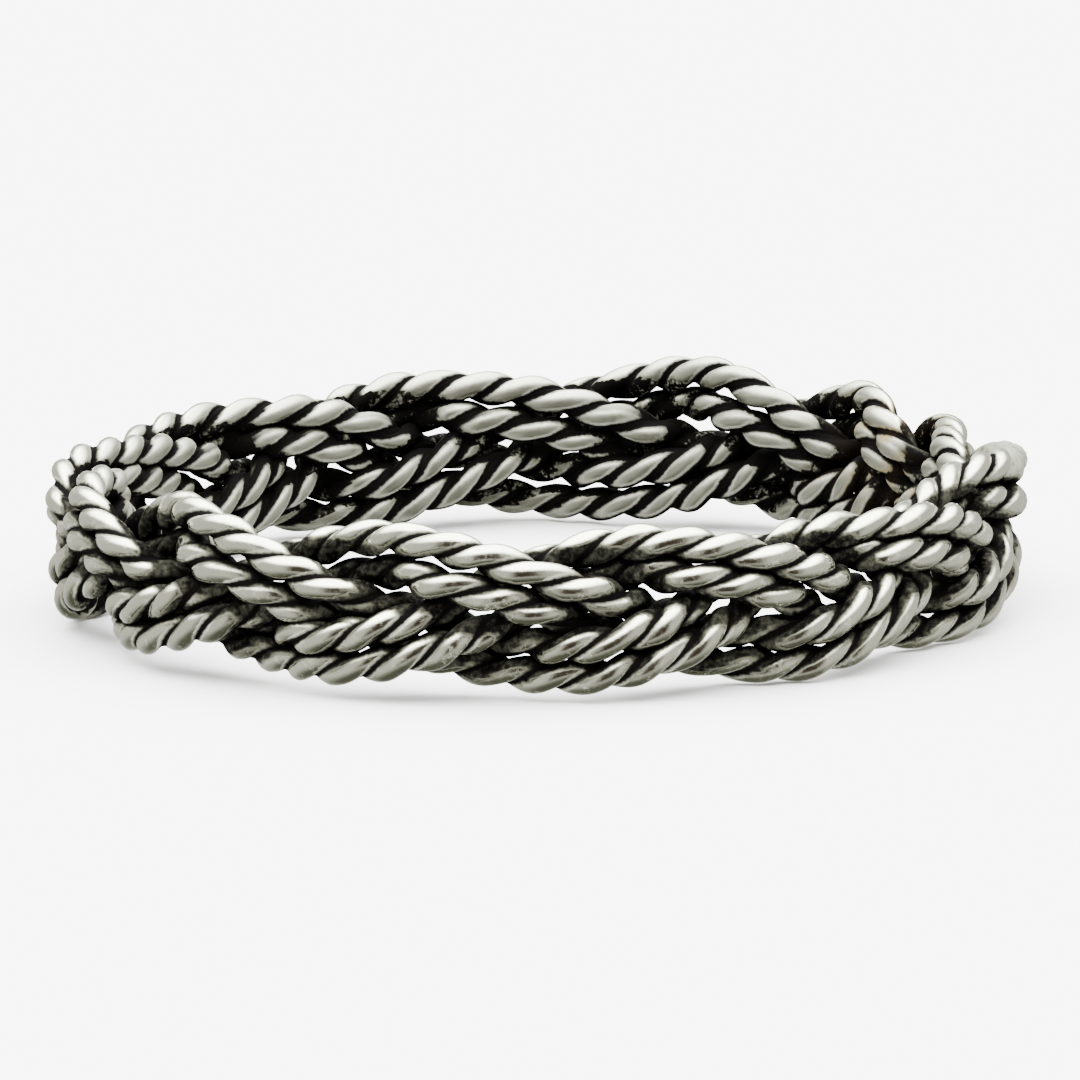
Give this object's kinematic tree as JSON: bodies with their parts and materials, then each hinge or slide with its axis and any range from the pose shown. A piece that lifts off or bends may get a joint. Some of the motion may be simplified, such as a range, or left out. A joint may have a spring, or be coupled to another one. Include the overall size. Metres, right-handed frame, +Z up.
{
  "type": "braided band ring",
  "caption": "Finger ring plaited as a flat band from strands of twisted wire rope, in darkened silver, lying on its side.",
  "frame": {"origin": "centre of the band in plan, on the floor that the ring's lower edge rests on", "axes": "+Z up along the way a finger goes through, -Y to the side that faces the camera in the picture"},
  "size_m": [0.0207, 0.0206, 0.0037],
  "materials": {
    "silver": "polished on the high places, black oxide in the grooves"
  },
  "bodies": {
    "root": {"strand_1_upper_rope": "silver", "strand_1_lower_rope": "silver", "strand_2_upper_rope": "silver", "strand_2_lower_rope": "silver", "strand_3_upper_rope": "silver", "strand_3_lower_rope": "silver"}
  },
  "joints": []
}
